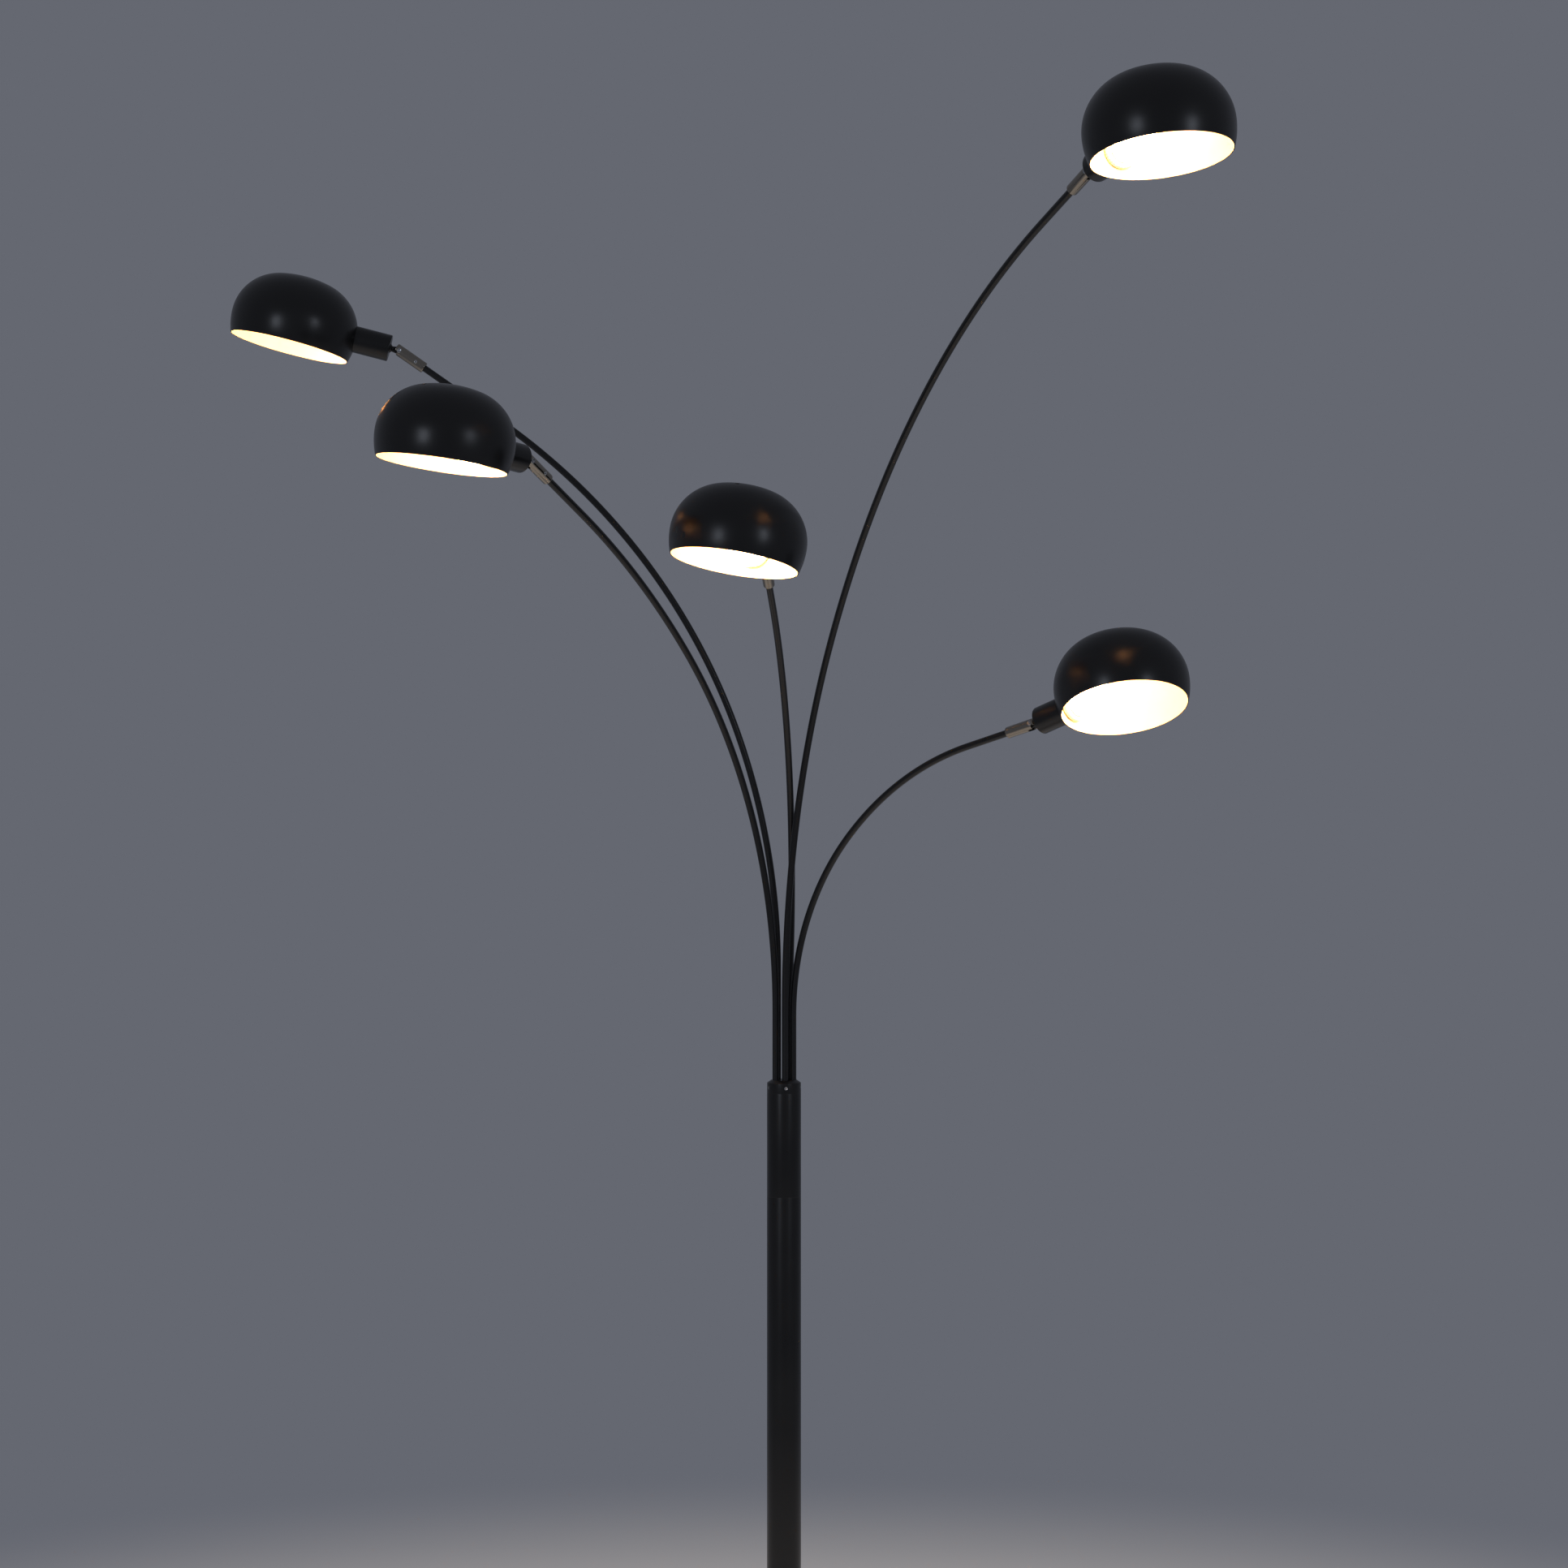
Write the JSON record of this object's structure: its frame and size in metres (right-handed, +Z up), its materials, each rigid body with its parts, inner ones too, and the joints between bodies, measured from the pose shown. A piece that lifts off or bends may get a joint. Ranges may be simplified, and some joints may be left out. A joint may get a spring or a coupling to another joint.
{
  "type": "tree floor lamp",
  "caption": "Black floor lamp: round weighted base, upright pole, and bent tube arms that each carry a swivelling dome shade.",
  "frame": {"origin": "centre of the base's underside, on the floor under the pole", "axes": "+Z up along the pole, the lamp seen from -Y, +X to the viewer's right"},
  "size_m": [1.119, 0.9975, 2.1031],
  "materials": {
    "black_paint": "satin",
    "satin_nickel": "brushed",
    "screw_steel": "bright",
    "zinc_steel": "zinc plated",
    "cast_weight": "rough",
    "pad_rubber": "matte",
    "black_plastic": "matte",
    "white_plastic": "satin",
    "bulb_opal": "opal, lit"
  },
  "bodies": {
    "stand": {"base_pad": "pad_rubber", "base_weight": "cast_weight", "base_cover": "black_paint", "base_nipple": "zinc_steel", "base_fixings": "zinc_steel", "cable_gland": "black_plastic", "pole_foot": "zinc_steel", "pole_lower": "black_paint", "pole_joiner": "zinc_steel", "pole_upper": "black_paint", "head_joiner": "zinc_steel", "pole_head": "black_paint", "pole_cap": "black_paint", "cap_screws": "screw_steel"},
    "arm_a": {"arm_tube_a": "black_paint"},
    "swivel_a": {"swivel_sleeve_a": "satin_nickel", "swivel_screws_a": "screw_steel"},
    "head_a": {"neck_a": "black_paint", "cup_a": "black_paint", "lampholder_a": "white_plastic", "shade_ring_a": "white_plastic", "shade_a": "black_paint", "bulb_a": "bulb_opal"},
    "arm_b": {"arm_tube_b": "black_paint"},
    "swivel_b": {"swivel_sleeve_b": "satin_nickel", "swivel_screws_b": "screw_steel"},
    "head_b": {"neck_b": "black_paint", "cup_b": "black_paint", "lampholder_b": "white_plastic", "shade_ring_b": "white_plastic", "shade_b": "black_paint", "bulb_b": "bulb_opal"},
    "arm_c": {"arm_tube_c": "black_paint"},
    "swivel_c": {"swivel_sleeve_c": "satin_nickel", "swivel_screws_c": "screw_steel"},
    "head_c": {"neck_c": "black_paint", "cup_c": "black_paint", "lampholder_c": "white_plastic", "shade_ring_c": "white_plastic", "shade_c": "black_paint", "bulb_c": "bulb_opal"},
    "arm_d": {"arm_tube_d": "black_paint"},
    "swivel_d": {"swivel_sleeve_d": "satin_nickel", "swivel_screws_d": "screw_steel"},
    "head_d": {"neck_d": "black_paint", "cup_d": "black_paint", "lampholder_d": "white_plastic", "shade_ring_d": "white_plastic", "shade_d": "black_paint", "bulb_d": "bulb_opal"},
    "arm_e": {"arm_tube_e": "black_paint"},
    "swivel_e": {"swivel_sleeve_e": "satin_nickel", "swivel_screws_e": "screw_steel"},
    "head_e": {"neck_e": "black_paint", "cup_e": "black_paint", "lampholder_e": "white_plastic", "shade_ring_e": "white_plastic", "shade_e": "black_paint", "bulb_e": "bulb_opal"}
  },
  "joints": [
    {"name": "arm_swing_a", "type": "hinge", "parent": "stand", "child": "arm_a", "pos_m": [-0.00764, 0.00819, 1.04], "axis": [0, 0, 1], "range_deg": [-30, 30]},
    {"name": "sleeve_turn_a", "type": "hinge", "parent": "arm_a", "child": "swivel_a", "pos_m": [-0.43512, -0.02921, 1.90389], "axis": [-0.819, -0.0717, 0.5693], "range_deg": [-30, 30]},
    {"name": "head_tilt_a", "type": "hinge", "parent": "swivel_a", "child": "head_a", "pos_m": [-0.46461, -0.03179, 1.92439], "axis": [0.0872, -0.9962, 0], "range_deg": [-25, 25]},
    {"name": "arm_swing_b", "type": "hinge", "parent": "stand", "child": "arm_b", "pos_m": [-0.01015, -0.00473, 1.04], "axis": [0, 0, 1], "range_deg": [-30, 5]},
    {"name": "sleeve_turn_b", "type": "hinge", "parent": "arm_b", "child": "swivel_b", "pos_m": [-0.26263, -0.33616, 1.73954], "axis": [-0.52, -0.6826, 0.5135], "range_deg": [-30, 30]},
    {"name": "head_tilt_b", "type": "hinge", "parent": "swivel_b", "child": "head_b", "pos_m": [-0.28135, -0.36074, 1.75803], "axis": [0.7593, -0.6448, -0.0882], "range_deg": [-25, 25]},
    {"name": "arm_swing_c", "type": "hinge", "parent": "stand", "child": "arm_c", "pos_m": [0.00543, 0.0098, 1.04], "axis": [0, 0, 1], "range_deg": [-10, 0]},
    {"name": "sleeve_turn_c", "type": "hinge", "parent": "arm_c", "child": "swivel_c", "pos_m": [-0.01714, -0.23645, 1.62888], "axis": [-0.1118, -0.7772, 0.6193], "range_deg": [-30, 30]},
    {"name": "head_tilt_c", "type": "hinge", "parent": "swivel_c", "child": "head_c", "pos_m": [-0.02116, -0.26443, 1.65117], "axis": [0.9613, -0.2426, -0.1309], "range_deg": [-25, 25]},
    {"name": "arm_swing_d", "type": "hinge", "parent": "stand", "child": "arm_d", "pos_m": [0.01099, -0.00214, 1.04], "axis": [0, 0, 1], "range_deg": [-20, 30]},
    {"name": "sleeve_turn_d", "type": "hinge", "parent": "arm_d", "child": "swivel_d", "pos_m": [0.25764, -0.21959, 1.45997], "axis": [0.7259, -0.64, 0.2521], "range_deg": [-30, 30]},
    {"name": "head_tilt_d", "type": "hinge", "parent": "swivel_d", "child": "head_d", "pos_m": [0.28378, -0.24263, 1.46905], "axis": [0.6876, 0.6845, -0.2423], "range_deg": [-25, 25]},
    {"name": "arm_swing_e", "type": "hinge", "parent": "stand", "child": "arm_e", "pos_m": [0.00136, -0.01112, 1.04], "axis": [0, 0, 1], "range_deg": [0, 20]},
    {"name": "sleeve_turn_e", "type": "hinge", "parent": "arm_e", "child": "swivel_e", "pos_m": [0.29562, -0.60911, 2.01035], "axis": [0.4085, -0.8302, 0.3795], "range_deg": [-30, 30]},
    {"name": "head_tilt_e", "type": "hinge", "parent": "swivel_e", "child": "head_e", "pos_m": [0.31032, -0.639, 2.02401], "axis": [0.8922, 0.4508, 0.0258], "range_deg": [-25, 25]}
  ]
}
